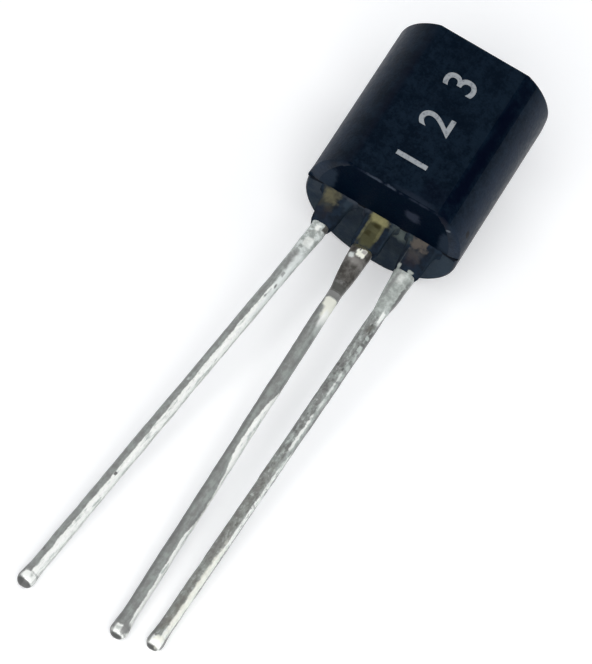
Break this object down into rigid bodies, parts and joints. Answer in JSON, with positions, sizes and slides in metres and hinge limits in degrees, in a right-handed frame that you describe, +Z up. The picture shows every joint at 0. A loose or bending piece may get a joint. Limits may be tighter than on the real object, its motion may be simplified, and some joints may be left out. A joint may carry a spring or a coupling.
{
  "type": "to-92 transistor",
  "caption": "Small black moulded transistor with a flat face, a round back and three long tinned leads, lying on its back with the leads slightly splayed.",
  "frame": {"origin": "bottom centre of the bounding box, on the surface that the part lies on", "axes": "+Z up, with the flat of the body facing up; +Y from the tips of the leads to the closed end of the body; +X to the right across the flat, seen with the leads towards the viewer"},
  "size_m": [0.005, 0.0194, 0.0047],
  "materials": {
    "epoxy": "satin moulded epoxy, blue-black",
    "tinned_lead": "dull dipped tin over copper alloy, brown under a resin film next to the body",
    "silicon": "polished silicon",
    "attach": "dull solder",
    "gold_wire": "drawn gold"
  },
  "bodies": {
    "root": {"body": "epoxy", "lead_1": "tinned_lead", "lead_2": "tinned_lead", "lead_3": "tinned_lead", "chip": "silicon", "chip_attach": "attach", "bond_wire_1": "gold_wire", "bond_wire_2": "gold_wire"}
  },
  "joints": []
}
